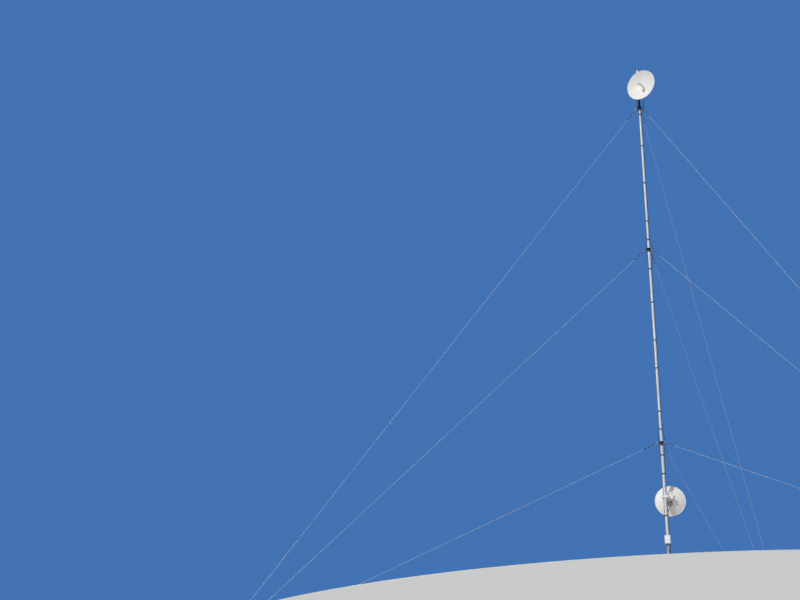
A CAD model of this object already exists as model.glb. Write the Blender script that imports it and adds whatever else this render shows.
"""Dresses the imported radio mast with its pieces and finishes. Lengths are in metres, angles in radians."""
from itertools import product
from math import atan2, ceil, cos, pi, radians, sin, sqrt, tan

import bmesh
import bpy
from mathutils import Matrix, Vector


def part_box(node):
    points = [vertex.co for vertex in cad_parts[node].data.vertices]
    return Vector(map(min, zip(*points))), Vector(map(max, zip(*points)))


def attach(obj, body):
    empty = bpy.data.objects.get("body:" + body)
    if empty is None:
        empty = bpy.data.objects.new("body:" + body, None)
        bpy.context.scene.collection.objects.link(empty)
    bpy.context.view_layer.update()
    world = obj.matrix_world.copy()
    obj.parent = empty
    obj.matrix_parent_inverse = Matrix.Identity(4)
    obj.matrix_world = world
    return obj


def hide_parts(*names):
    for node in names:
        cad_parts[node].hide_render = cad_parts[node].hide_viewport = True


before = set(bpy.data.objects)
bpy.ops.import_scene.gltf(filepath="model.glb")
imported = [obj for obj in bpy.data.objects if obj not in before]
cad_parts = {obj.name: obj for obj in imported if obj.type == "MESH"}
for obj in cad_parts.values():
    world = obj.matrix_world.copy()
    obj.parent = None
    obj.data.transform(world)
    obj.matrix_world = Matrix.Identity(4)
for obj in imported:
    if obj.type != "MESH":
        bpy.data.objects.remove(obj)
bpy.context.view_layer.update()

bl_info = {
    "name": "Radio mast",
    "version": (1, 0, 0),
    "blender": (4, 5, 0),
    "location": "3D View > Sidebar > Radio mast",
    "description": "Pieces, finishes and stage for a guyed radio mast",
    "category": "Object",
}

BODY = "root"
UP = Vector((0, 0, 1))
ALONG_X = Matrix.Rotation(radians(90), 4, "Y")
STAGES = ("lower", "middle", "upper")
GUY_HEADINGS = {"west": pi, "north": pi / 3, "south": -pi / 3}
ROUND_SIDES = 56
ROD_SIDES = 16
LINE_STEPS = 10
GAP = 0.0002

# Rings and clamps: hub under a ring, guy holes, ears of the split clamps
HUB_DROP, HUB_WALL, HUB_GAP = 0.024, 0.005, 0.00025
HOLE_REACH, HOLE_D = 0.058, 0.02
CLAMP_HEIGHT, CLAMP_WALL, EAR_REACH, EARS_WIDTH = 0.045, 0.0062, 0.02, 0.021
CLAMP_BOLT, CLAMP_BOLT_RISE, RING_WELD = 0.008, 0.0115, 0.004

# Wire ends: thimbles, turned-back tails, clips, and the tape between the clips
EYE_R, EYE_SPREAD, TAIL_GAP, TAIL_BEND = 0.0137, radians(60), 0.0004, 0.014
THIMBLE_BORE, THIMBLE_WIDTH = 0.018, 0.01
BEARING = THIMBLE_BORE / 2 - GAP
CLIPS = (0.085, 0.175, 0.265)
BOUND = ((0.057, 0.0755), (0.0945, 0.1655), (0.1845, 0.2555), (0.2745, 0.352))

# Turnbuckles and ground fittings
FORK_GAP, FORK_CHEEK, FORK_END_R, FORK_THROAT, FORK_BRIDGE = 0.0105, 0.005, 0.009, 0.026, 0.008
ROD_SHOWING, ROD_INSIDE = 0.026, 0.05
BODY_END, BODY_SLOT, BODY_BEVEL = 0.02, 0.02, 0.0035
PLATE_TOP, FIN_HALF, FIN_FOOT, FIN_WELD = 0.014, 0.005, 0.1, 0.006
GROUND_BOLT, ANCHOR_BOLTS_R, BASE_BOLTS_R = 0.016, 0.12, 0.22
FOOT_BOLT, FOOT_BOLT_Z, FOOT_BOLT_HEADING = 0.012, 0.12, pi / 3

# Dishes: all along a dish's own axis from its pivot
SKIN, RIM_DEPTH, FLAT_R, VERTEX, HUB_DISC = 0.003, 0.014, 0.08, 0.075, 0.01
BACK = VERTEX - SKIN - HUB_DISC
PIVOT_REACH, CHEEK_OUT, SADDLE, SADDLE_RISE = 0.05, 0.0454, 0.008, 0.045
CLAMP_ROD, CLAMP_RISE, CLAMP_DEPTH, CLAMP_SHEET = 0.01, 0.027, 0.012, 0.004
HUB_BOLT, HUB_BOLTS_R, PIVOT_BOLT = 0.006, 0.06, 0.012
FEED_FRONT_D, FEED_CUP, FEED_BLOCK, FEED_BLOCK_DEPTH = 0.054, 0.026, 0.046, 0.04
RADIO_RISE, RADIO_PORT, JUMPER_PORT = 0.06, -0.011, 0.010

# Equipment box and cables
BOX_PLATE, BOX_ROD, BOX_RISE, BOX_LIP, BOX_PORTS = 0.006, 0.006, 0.098, 0.003, (0.022, -0.022)
SCREW_INSET, BOX_GLAND_D, BOX_GLAND_HEIGHT = 0.011, 0.0185, 0.018
FOOT_REACH, FOOT_LEVELS = 0.092, (0.402, 0.33, 0.13, 0.09)
EARTH_SIDE, LUG, LUG_BOLT = -0.034, 0.0016, 0.006
FEEDER_HEADING, SECOND_HEADING, EARTH_HEADING = 0.0, radians(18.8), radians(150)
LEAD_HEADINGS = (radians(300), radians(276))
RING_LEADS = {"lower": (0.240, 0.252), "middle": (0.176, 0.429), "upper": (0.176, 0.133)}
RING_BULGE, UBOLT_LEAD, UBOLT_FLATS = 0.025, 0.07, cos(radians(15))
CABLE_TOPS = {"mast": 12.0, "second": 2.75, "lead": 1.85}
SLEEVE, TAPE_GAP = (11.905, 12.155), 0.00015
TAPE_HEIGHTS = (
    11.733, 10.987, 10.117, 9.231, 8.805, 8.132, 7.379, 6.529,
    5.909, 4.957, 4.564, 4.004, 3.603, 2.712, 1.700, 0.900,
)

KEPT_NODES = {
    "galvanised_steel": ("base_plate", "anchor_west", "anchor_north", "anchor_south"),
    "black_paint": ("guy_rings", "split_clamps"),
    "white_bracket_paint": ("dish_brackets", "dish_hubs"),
    "zinc_hardware": ("box_plate",),
}

CAMERA_POINT = (-8.692, -43.230, -6.196)
CAMERA_HEADING, CAMERA_PITCH, CAMERA_ROLL = radians(4.3), radians(17.49), 0.0283
CAMERA_LENS, CAMERA_SENSOR, CAMERA_CLIP = 95.8, 36.0, 200.0
KEY_LAMP = (-0.571, -0.627, 0.530), 2.1, radians(3)
FILL_LAMP = (0.75, -0.45, 0.35), 0.25, radians(30)
LAMP_HEIGHT = 6.0
FLOOR_R, FLOOR_TOP, FLOOR_LOW = 10.4, -0.002, -0.022


# Properties
def across(node):
    """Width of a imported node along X."""
    low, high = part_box(node)
    return high.x - low.x


def length(name, default, description, least=0.0):
    """A length that a user may change."""
    return bpy.props.FloatProperty(
        name=name, description=description, default=default, min=least, precision=5, unit="LENGTH"
    )


def angle(name, degrees, description):
    """A heading, tilt or slope that a user may change."""
    return bpy.props.FloatProperty(
        name=name, description=description, default=radians(degrees), precision=2, subtype="ANGLE"
    )


def colour(name, default, description):
    """A colour that a user may change."""
    return bpy.props.FloatVectorProperty(
        name=name, description=description, default=default, size=3, min=0.0, max=1.0, subtype="COLOR"
    )


class MastSizes(bpy.types.PropertyGroup):
    """Tubes and rings."""

    lower_tube_d: length("Lower tube", across("lower_tube"), "Outer diameter of the lowest tube")
    middle_tube_d: length("Middle tube", across("middle_tube"), "Outer diameter of the middle tube")
    upper_tube_d: length("Upper tube", across("upper_tube"), "Outer diameter of the top tube")
    tube_wall: length("Tube wall", 0.003, "Wall of each tube")
    lower_ring_z: length("Lower ring", 4.29, "Height of the lowest guy ring")
    middle_ring_z: length("Middle ring", 8.595, "Height of the middle guy ring")
    upper_ring_z: length("Upper ring", 11.9, "Height of the top guy ring")
    ring_d: length("Ring", 0.15, "Diameter of a guy ring")
    ring_thick: length("Ring thickness", 0.006, "Thickness of a guy ring")


class GuySizes(bpy.types.PropertyGroup):
    """Wires, turnbuckles and anchors."""

    wire_d: length("Wire", 0.006, "Diameter of a guy wire")
    strand_lay: length("Strand lay", 0.045, "Length in which a strand goes once round the wire")
    tail: length("Tail", 0.34, "Length of a wire's turned-back end")
    anchor_reach: length("Anchor reach", 9.36, "Distance of an anchor from the mast")
    fin_height: length("Fin height", 0.122, "Height of the middle anchor hole")
    fin_step: length("Fin step", 0.062, "Distance between anchor holes")
    fin_slope: angle("Fin slope", 40.0, "Slope of the row of anchor holes")
    body_length: length("Turnbuckle body", 0.24, "Length of a turnbuckle's body")
    body_width: length("Turnbuckle width", 0.036, "Width of a turnbuckle's body")
    body_thick: length("Turnbuckle thickness", 0.02, "Thickness of a turnbuckle's body")
    rod_d: length("Turnbuckle rod", 0.012, "Diameter of a turnbuckle's threaded rod")
    pin_d: length("Clevis pin", 0.008, "Diameter of a clevis pin")


class DishSizes(bpy.types.PropertyGroup):
    """Dishes with their clamps, feeds and radio units."""

    upper_d: length("Upper dish", 0.69, "Diameter of the upper dish")
    upper_z: length("Upper dish height", 12.276, "Height of the upper dish")
    upper_heading: angle("Upper heading", 228.8, "Way that the upper dish looks")
    upper_tilt: angle("Upper tilt", 5.0, "Upward tilt of the upper dish")
    upper_offset: length("Upper offset", 0.23, "Side distance of the upper dish", -1.0)
    lower_d: length("Lower dish", 0.65, "Diameter of the lower dish")
    lower_z: length("Lower dish height", 3.075, "Height of the lower dish")
    lower_heading: angle("Lower heading", 84.3, "Way that the lower dish looks")
    lower_tilt: angle("Lower tilt", 0.0, "Upward tilt of the lower dish")
    lower_offset: length("Lower offset", -0.13, "Side distance of the lower dish", -1.0)
    focal_ratio: bpy.props.FloatProperty(
        name="Focal ratio", description="Focal length over diameter",
        default=0.32, min=0.2, max=1.0, subtype="FACTOR",
    )
    rim: length("Rim", 0.0035, "Width of a reflector's rolled rim")
    clamp_width: length("Clamp width", 0.124, "Width of a clamp half")
    clamp_height: length("Clamp height", 0.08, "Height of a clamp half")
    feed_tube_d: length("Feed tube", 0.034, "Diameter of a feed's tube")
    feed_cup_d: length("Feed cup", 0.078, "Diameter of a feed's cup")
    radio_width: length("Radio width", 0.06, "Width of a radio unit")
    radio_depth: length("Radio depth", 0.042, "Depth of a radio unit")
    radio_height: length("Radio height", 0.19, "Height of a radio unit")


class CableSizes(bpy.types.PropertyGroup):
    """Cables, tape, glands and the equipment box."""

    feeder_d: length("Feeder", 0.012, "Diameter of a feeder cable")
    earth_d: length("Earth cable", 0.008, "Diameter of the earth cable")
    lead_d: length("Box lead", 0.01, "Diameter of a lead from the box")
    jumper_d: length("Jumper", 0.008, "Diameter of a jumper between radio and feed")
    tape_width: length("Tape", 0.024, "Width of a tape band")
    tape_thick: length("Tape thickness", 0.0016, "Thickness of a wound tape band")
    gland_d: length("Gland", 0.026, "Width of a cable gland over its corners")
    gland_height: length("Gland height", 0.034, "Height of a cable gland")
    box_z: length("Box height", 2.197, "Height of the equipment box")
    box_heading: angle("Box heading", 255.0, "Side of the mast that the box is on")
    box_width: length("Box width", 0.116, "Width of the box's lid")
    box_height: length("Box length", 0.17, "Height of the box's lid")
    box_depth: length("Box depth", 0.062, "Depth of the box with its lid")
    box_lid: length("Lid", 0.014, "Thickness of the box's lid")


class MastColours(bpy.types.PropertyGroup):
    """Colours of the finishes and of the stage."""

    steel: colour("Galvanised steel", (0.74, 0.75, 0.76), "Mean colour of the galvanised steel")
    stain: colour("Stain", (0.24, 0.19, 0.15), "Streaks that run down from the rings")
    zinc: colour("Zinc", (0.52, 0.53, 0.54), "Mean colour of the plated hardware")
    wire: colour("Guy wire", (0.65, 0.66, 0.67), "Mean colour of the stranded wire")
    black_paint: colour("Black paint", (0.022, 0.023, 0.026), "Rings and clamps")
    white_paint: colour("White paint", (0.82, 0.82, 0.80), "Brackets")
    dish: colour("Dish", (0.84, 0.82, 0.79), "Face and back of a reflector")
    dish_rim: colour("Dish rim", (0.86, 0.86, 0.85), "Rolled rim of a reflector")
    feed: colour("Feed", (0.62, 0.61, 0.58), "Moulded cover of a feed")
    housing: colour("Housing", (0.83, 0.83, 0.82), "Radio units, box and cap")
    jacket: colour("Cable jacket", (0.018, 0.018, 0.02), "Cables")
    tape: colour("Tape", (0.014, 0.014, 0.015), "Tape bands")
    nylon: colour("Nylon", (0.03, 0.03, 0.032), "Cable glands")
    sky: colour("Backdrop", (0.055, 0.17, 0.45), "Plain backdrop behind the mast")
    floor: colour("Floor", (0.66, 0.66, 0.64), "Plain floor round the mast")


GROUPS = {
    "mast_sizes": MastSizes,
    "guy_sizes": GuySizes,
    "dish_sizes": DishSizes,
    "cable_sizes": CableSizes,
    "mast_colours": MastColours,
}


class Chosen:
    """Reads a property group of the open scene."""

    def __init__(self, group):
        self.group = group

    def __getattr__(self, name):
        return getattr(getattr(bpy.context.scene, self.group), name)


mast, guy, dish, cable, colours = map(Chosen, GROUPS)


# Turns and places
def arc(first, last, steps):
    """Turns from first to last, both counted."""
    return [first + (last - first) * step / steps for step in range(steps + 1)]


def circle(sides):
    """Turns once round, without the last."""
    return arc(0, 2 * pi, sides)[:-1]


def polar(radius, turn):
    return radius * cos(turn), radius * sin(turn)


def heading_way(heading):
    """The level way along a heading."""
    return Vector((*polar(1, heading), 0))


def at(x, y, z):
    """A place moved from the origin."""
    return Matrix.Translation((x, y, z))


def aim(point, way):
    """A place at a point whose Z runs along a way."""
    return Matrix.Translation(point) @ Vector(way).to_track_quat("Z", "Y").to_matrix().to_4x4()


def axes(origin, x_way, z_way):
    """A place whose X runs along one way and whose Z leans along another."""
    x = x_way.normalized()
    y = z_way.cross(x).normalized()
    return Matrix.Translation(origin) @ Matrix((x, y, x.cross(y))).transposed().to_4x4()


def facing(heading, height):
    """A level place on the mast's axis with X along a heading."""
    return axes(Vector((0, 0, height)), heading_way(heading), UP)


# Meshes in the making
class Form:
    """Points, faces with a finish number each, and for each point its turn and run along a sweep."""

    def __init__(self):
        self.points = []
        self.faces = []
        self.marks = []
        self.wraps = []

    def add(self, other, place=Matrix(), mark=None):
        """Take in another form at a place, with its own finish numbers or one for all of it."""
        start = len(self.points)
        self.points += [place @ point for point in other.points]
        self.faces += [tuple(start + corner for corner in face) for face in other.faces]
        self.marks += other.marks if mark is None else [mark] * len(other.faces)
        self.wraps += other.wraps
        return self


def stack(rings, loop=False):
    """Join rings of points into one skin, closed by flat ends or back onto the first ring."""
    form = Form()
    count = len(rings[0])
    form.points = [Vector(point) for ring in rings for point in ring]
    for row in range(len(rings) if loop else len(rings) - 1):
        here = row * count
        there = (row + 1) % len(rings) * count
        for side in range(count):
            after = (side + 1) % count
            form.faces.append((here + side, here + after, there + after, there + side))
    if not loop:
        form.faces.append(tuple(reversed(range(count))))
        form.faces.append(tuple(range(len(form.points) - count, len(form.points))))
    form.marks = [0] * len(form.faces)
    form.wraps = [Vector((0, 0, 0))] * len(form.points)
    return form


def layers(outline, levels):
    """An outline stacked along Z, with its share of full size and its height at each level."""
    return stack([[(x * share, y * share, z) for x, y in outline] for share, z in levels])


def lathe(profile, sides=ROD_SIDES, loop=False):
    """Turn a profile of (radius, height) points about Z."""
    rings = [[(*polar(radius, turn), height) for turn in circle(sides)] for radius, height in profile]
    return stack(rings, loop)


def polygon(across_corners, sides):
    """Corners of a regular polygon."""
    return [polar(across_corners / 2, turn) for turn in circle(sides)]


def rounded_rect(width, depth, radius, steps=4):
    """Corners of a rectangle with rounded corners, the same count for any size."""
    points = []
    for quarter, (x_sign, y_sign) in enumerate(((1, 1), (-1, 1), (-1, -1), (1, -1))):
        for turn in arc(pi / 2 * quarter, pi / 2 * (quarter + 1), steps):
            x, y = polar(radius, turn)
            points.append((x_sign * (width / 2 - radius) + x, y_sign * (depth / 2 - radius) + y))
    return points


def pad(width, depth, height, radius, bevel, steps=4, bevel_steps=3):
    """A box on Z with rounded upright corners and rounded edges."""
    edge = [(bevel * (1 - sin(turn)), bevel * (1 - cos(turn))) for turn in arc(0, pi / 2, bevel_steps)]
    rings = []
    for inset, level in edge + [(inset, height - rise) for inset, rise in reversed(edge)]:
        corner = max(radius - inset, radius * 0.2)
        outline = rounded_rect(width - 2 * inset, depth - 2 * inset, corner, steps)
        rings.append([(x, y, level) for x, y in outline])
    return stack(rings)


def frame_pad(outer, inner, height, bevel):
    """A flat frame on Z between two outlines of as many points, with bevelled edges."""
    def inset(outline, amount):
        return [tuple(side * (1 - amount / max(abs(side), bevel)) for side in corner) for corner in outline]

    wide, slim = inset(inner, -bevel), inset(outer, bevel)
    low = [(inner, bevel), (wide, 0), (slim, 0), (outer, bevel)]
    high = [(outline, height - level) for outline, level in reversed(low)]
    return stack([[(x, y, level) for x, y in outline] for outline, level in low + high], loop=True)


def sweep(path, radius, sides=ROD_SIDES, start_way=None):
    """A round rod along a path, with its turn and run kept for finishes that wind round it."""
    path = [Vector(point) for point in path]
    rings = []
    wraps = []
    run = 0.0
    ways = [(after - before).normalized() for before, after in zip(path, path[1:])]
    normal = start_way or ways[0].orthogonal().normalized()
    for place, point in enumerate(path):
        way = (ways[max(place - 1, 0)] + ways[min(place, len(ways) - 1)]).normalized()
        normal = (normal - way * normal.dot(way)).normalized()
        side = way.cross(normal)
        if place:
            run += (point - path[place - 1]).length
        rings.append([point + radius * (normal * cos(turn) + side * sin(turn)) for turn in circle(sides)])
        wraps += [Vector((*polar(1, turn), run)) for turn in circle(sides)]
    form = stack(rings)
    form.wraps = wraps
    return form


def smooth_path(points):
    """A smooth line with the points as the corners of its frame."""
    corners = [Vector(point) for point in points]
    last = len(corners) - 3
    path = []
    for run in arc(0, last + 1, LINE_STEPS * (len(corners) - 1) - 1):
        span = min(int(run), last)
        before, bend, after = corners[span:span + 3]
        share = run - span
        first = before if span == 0 else (before + bend) / 2
        final = after if span == last else (bend + after) / 2
        path.append(first.lerp(bend, share).lerp(bend.lerp(final, share), share))
    return path


def skin(name, form):
    """A clean mesh from a form, in an object of its own."""
    mesh = bpy.data.meshes.new(name)
    mesh.from_pydata(form.points, [], form.faces)
    mesh.polygons.foreach_set("material_index", form.marks)
    wound = mesh.attributes.new("wrap", "FLOAT_VECTOR", "POINT")
    wound.data.foreach_set("vector", [value for wrap in form.wraps for value in wrap])
    shape = bmesh.new()
    shape.from_mesh(mesh)
    bmesh.ops.remove_doubles(shape, verts=shape.verts, dist=1e-6)
    bmesh.ops.dissolve_degenerate(shape, edges=shape.edges, dist=1e-6)
    bmesh.ops.recalc_face_normals(shape, faces=shape.faces)
    shape.to_mesh(mesh)
    shape.free()
    mesh.polygons.foreach_set("use_smooth", [True] * len(mesh.polygons))
    mesh.set_sharp_from_angle(angle=radians(35))
    made = bpy.data.objects.new(name, mesh)
    bpy.context.scene.collection.objects.link(made)
    return made


def piece(name, form, slot, finishes, *nodes):
    """Make a form into an object that stands with the mast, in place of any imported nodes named."""
    made = skin(name, form)
    for finish in finishes.split():
        made.data.materials.append(finish_of(finish))
    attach(made, BODY)
    if nodes:
        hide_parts(*nodes)


# Finishes
def tint(name, share=1.0):
    """One of the mast's colours, times a share."""
    return (*(value * share for value in getattr(colours, name)), 1.0)


class Socket:
    """A shader value that adds Math nodes when it is reckoned with."""

    def __init__(self, nodes, link):
        self.nodes = nodes
        self.link = link

    def beside(self, output):
        """Another output of the same node."""
        return Socket(self.nodes, self.link.node.outputs[output])

    def reckon(self, operation, *values, clamp=False):
        """Add the Math node of an operation."""
        options = {"operation": operation, "use_clamp": clamp}
        return self.nodes.node("ShaderNodeMath", options, enumerate(values))

    def __add__(self, other):
        return self.reckon("ADD", self, other)

    def __radd__(self, other):
        return self.reckon("ADD", other, self)

    def __sub__(self, other):
        return self.reckon("SUBTRACT", self, other)

    def __rsub__(self, other):
        return self.reckon("SUBTRACT", other, self)

    def __mul__(self, other):
        return self.reckon("MULTIPLY", self, other)

    def __rmul__(self, other):
        return self.reckon("MULTIPLY", other, self)

    def sine(self):
        return self.reckon("SINE", self)

    def size(self):
        return self.reckon("ABSOLUTE", self)

    def between(self, low, high):
        """0 below low, 1 above high and a straight slope between them."""
        return self.reckon("MULTIPLY", self - low, 1 / (high - low), clamp=True)


class Nodes:
    """The nodes of a material or of the world."""

    def __init__(self, tree):
        self.tree = tree

    def fill(self, made, inputs):
        """Give a node's sockets their values or links."""
        for key, value in dict(inputs).items():
            if isinstance(value, Socket):
                self.tree.links.new(value.link, made.inputs[key])
            else:
                made.inputs[key].default_value = value

    def node(self, kind, options=(), inputs=(), output=0):
        """Add a node: its settings first, then the values or links of its sockets."""
        made = self.tree.nodes.new(kind)
        for key, value in dict(options).items():
            setattr(made, key, value)
        self.fill(made, inputs)
        return Socket(self, made.outputs[output]) if made.outputs else None


class Finish(Nodes):
    """A material built from nodes round one Principled shader."""

    def __init__(self, name):
        self.material = bpy.data.materials.new(name)
        self.material.use_nodes = True
        super().__init__(self.material.node_tree)

    def feed(self, inputs):
        """Give the shader its values and links."""
        self.fill(self.tree.nodes["Principled BSDF"], inputs)

    def place(self, stretch=(1, 1, 1)):
        """Position on the object, stretched."""
        spot = self.node("ShaderNodeTexCoord", output="Object")
        return self.node("ShaderNodeVectorMath", {"operation": "MULTIPLY"}, {0: spot, 1: stretch})

    def noise(self, scale, detail=3.0, stretch=(1, 1, 1)):
        """Soft noise from 0 to 1."""
        inputs = {"Vector": self.place(stretch), "Scale": scale, "Detail": detail}
        return self.node("ShaderNodeTexNoise", inputs=inputs)

    def mix(self, share, first, second):
        """A colour between two others."""
        return self.node("ShaderNodeMix", {"data_type": "RGBA"}, {"Factor": share, 6: first, 7: second}, 2)

    def shaded(self, name, dark, share):
        """A chosen colour, changed by a factor where the share is high."""
        return self.mix(share, tint(name), tint(name, dark))

    def bump(self, height, strength, distance):
        """The surface bent by a height."""
        inputs = {"Height": height, "Strength": strength, "Distance": distance}
        return self.node("ShaderNodeBump", inputs=inputs)


def galvanised(finish):
    """Hot-dip zinc: crystal cells, long weather streaks and a fine grain, with stains below the rings."""
    inputs = {"Vector": finish.place(), "Scale": 95.0}
    crystal = finish.node("ShaderNodeTexVoronoi", inputs=inputs, output="Color")
    cell = finish.node("ShaderNodeSeparateColor", inputs={"Color": crystal})
    streak = finish.noise(9.0, 4.0, (3.0, 3.0, 0.22)).between(0.38, 0.72)
    run = finish.noise(26.0, 3.0, (2.4, 2.4, 0.09)).between(0.5, 0.68)
    height = finish.node("ShaderNodeSeparateXYZ", inputs={0: finish.place()}, output="Z")
    lower, middle, upper = (
        (height.between(top - 0.55, top - 0.04) - height.between(top - 0.02, top)).size()
        for top in map(stage_top, STAGES)
    )
    stain = lower + middle + upper
    dull = finish.mix(streak * 0.5, finish.shaded("steel", 0.86, cell), tint("steel", 0.72))
    finish.feed({
        "Base Color": finish.mix(stain * run * 0.55, dull, tint("stain")),
        "Roughness": 0.36 + cell * 0.12 + streak * 0.16 + run * stain * 0.1,
        "Metallic": 0.35,
        "Normal": finish.bump(cell + finish.noise(700.0), 0.12, 0.0002),
    })


def zinc_plate(finish):
    """Plated hardware with dull patches."""
    patch = finish.noise(60.0, 4.0).between(0.42, 0.66)
    finish.feed({
        "Base Color": finish.shaded("zinc", 0.68, patch),
        "Roughness": 0.34 + patch * 0.2,
        "Metallic": 0.45,
        "Normal": finish.bump(finish.noise(1500.0), 0.08, 0.0001),
    })


def stranded_wire(finish):
    """Six strands laid round each other, with dirt between them."""
    wrap = finish.node("ShaderNodeAttribute", {"attribute_name": "wrap"}, output="Vector")
    side_x = finish.node("ShaderNodeSeparateXYZ", inputs={0: wrap})
    turn = side_x.reckon("ARCTAN2", side_x.beside("Y"), side_x)
    strand = (turn * 3.0 + side_x.beside("Z") * (6 * pi / guy.strand_lay)).sine().size()
    groove = 1 - strand.between(0.0, 0.55)
    soot = finish.noise(35.0, 4.0).between(0.4, 0.75)
    finish.feed({
        "Base Color": finish.shaded("wire", 0.38, groove * 0.8 + soot * 0.2),
        "Roughness": 0.42 + groove * 0.3,
        "Metallic": 0.25,
        "Normal": finish.bump(strand, 0.9, 0.0006),
    })


def painted(finish, name, roughness, dust, dark):
    """Sprayed or powder coat with orange peel and rain marks."""
    mark = finish.noise(11.0, 5.0, (1.6, 1.6, 0.5)).between(0.46, 0.78)
    speck = finish.noise(240.0, 2.0).between(0.62, 0.78)
    finish.feed({
        "Base Color": finish.shaded(name, dark, mark * dust + speck * dust * 0.35),
        "Roughness": roughness + mark * 0.14,
        "Coat Weight": 0.08,
        "Normal": finish.bump(finish.noise(420.0, 2.0), 0.06, 0.0002),
    })


def moulded(finish, name, roughness, grain, dark):
    """Moulded plastic with a fine grain and handling marks."""
    mark = finish.noise(26.0, 4.0, (1.0, 1.0, 0.4)).between(0.45, 0.75)
    finish.feed({
        "Base Color": finish.shaded(name, dark, mark),
        "Roughness": roughness + mark * 0.12,
        "Normal": finish.bump(finish.noise(grain, 1.0), 0.14, 0.0002),
    })


def wound_tape(finish):
    """Stretched tape with the edges of its turns."""
    edge = finish.noise(3.0, 1.0, (1, 1, 160.0)).between(0.4, 0.6)
    crease = finish.noise(90.0, 3.0, (1, 1, 3.0))
    finish.feed({
        "Base Color": finish.shaded("tape", 0.55, edge),
        "Roughness": 0.36 + crease * 0.22,
        "Normal": finish.bump(edge + crease, 0.35, 0.0004),
    })


FINISHES = {
    "galvanised_steel": (galvanised,),
    "zinc_hardware": (zinc_plate,),
    "stranded_wire": (stranded_wire,),
    "black_paint": (painted, "black_paint", 0.38, 0.8, 1.9),
    "white_bracket_paint": (painted, "white_paint", 0.44, 0.5, 0.82),
    "dish_paint": (painted, "dish", 0.5, 0.45, 0.86),
    "dish_rim_paint": (painted, "dish_rim", 0.42, 0.3, 0.88),
    "feed_cover": (moulded, "feed", 0.5, 500.0, 0.9),
    "white_housing": (moulded, "housing", 0.46, 650.0, 0.92),
    "cable_jacket": (moulded, "jacket", 0.4, 800.0, 1.7),
    "gland_nylon": (moulded, "nylon", 0.5, 700.0, 1.4),
    "black_tape": (wound_tape,),
}


def finish_of(name):
    """A finish by name, made once."""
    if name not in bpy.data.materials:
        make, *values = FINISHES[name]
        make(Finish(name), *values)
    return bpy.data.materials[name]


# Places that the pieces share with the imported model
def tube_r(stage):
    return getattr(mast, f"{stage}_tube_d") / 2


def ring_height(stage):
    return getattr(mast, f"{stage}_ring_z")


def stage_top(stage):
    """Height at which a ring's hub stands on its tube or clamp."""
    return ring_height(stage) - mast.ring_thick / 2 - HUB_DROP


def tube_r_at(height):
    """Outer radius of the mast at a height."""
    return tube_r(next((stage for stage in STAGES[:2] if height < stage_top(stage)), "upper"))


def guy_place(stage, heading):
    """Place of a guy at its ring, with X down along it, and its length to the anchor pin."""
    out = heading_way(heading)
    web_low = HOLE_REACH + sqrt((HOLE_D / 2) ** 2 - (THIMBLE_WIDTH / 2) ** 2)
    step = (STAGES.index(stage) - 1) * guy.fin_step
    along, above = step * sin(guy.fin_slope), step * cos(guy.fin_slope)
    start = out * (web_low + mast.ring_d / 2) / 2 + UP * ring_height(stage)
    end = out * (guy.anchor_reach + along) + UP * (guy.fin_height + above)
    return axes(start, end - start, out.cross(UP)), (end - start).length


def dish_places():
    """Diameter, level place, aimed place at the pivot, held tube's radius and side of each dish."""
    for name in ("upper", "lower"):
        diameter, height, heading, tilt, offset = (
            getattr(dish, f"{name}_{key}") for key in ("d", "z", "heading", "tilt", "offset")
        )
        level = facing(heading, height)
        held_r = tube_r_at(height)
        pivot = at(held_r + GAP + SADDLE + PIVOT_REACH, offset, 0)
        yield diameter, level, level @ pivot @ Matrix.Rotation(-tilt, 4, "Y"), held_r, 1 if offset > 0 else -1


def radio_middle():
    return BACK - FEED_BLOCK_DEPTH - dish.radio_depth / 2


def radio_underside():
    return RADIO_RISE - dish.radio_height / 2


# Fasteners
def hexagon(rod, height):
    """A hexagon with chamfered corners, standing on Z = 0."""
    return layers(polygon(1.85 * rod, 6), [(0.94, 0), (1, height * 0.08), (1, height * 0.86), (0.9, height)])


def thread(radius, low, high, pitch):
    """A threaded rod end along Z."""
    turns = max(2, ceil((high - low) / pitch))
    step = (high - low) / turns
    profile = [(0, low)]
    for turn in range(turns):
        profile += [(radius * 0.86, low + step * turn), (radius, low + step * (turn + 0.5))]
    return lathe([*profile, (radius * 0.84, high), (0, high)], 12)


def bolt_head(rod, height=0.62):
    """A washer and a hexagon that stand on a face at Z = 0, the height given in rod diameters."""
    base = rod * 0.16
    form = lathe([(0, 0), (rod, 0), (rod * 1.04, base / 2), (rod, base), (0, base)], 20)
    return form.add(hexagon(rod, rod * height), at(0, 0, base))


def nut(rod):
    """Washer, nut and thread end that stand on a face at Z = 0."""
    return bolt_head(rod, 0.8).add(thread(rod / 2, rod * 0.76, rod * 1.41, rod * 0.14))


def add_bolt(form, rod, place, low, high):
    """Add a bolt along a place's X, with its head at low and its nut at high."""
    form.add(bolt_head(rod), place @ aim((low, 0, 0), (-1, 0, 0)))
    form.add(nut(rod), place @ aim((high, 0, 0), (1, 0, 0)))
    form.add(lathe([(0, low), (rod / 2, low), (rod / 2, high), (0, high)]), place @ ALONG_X)


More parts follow.
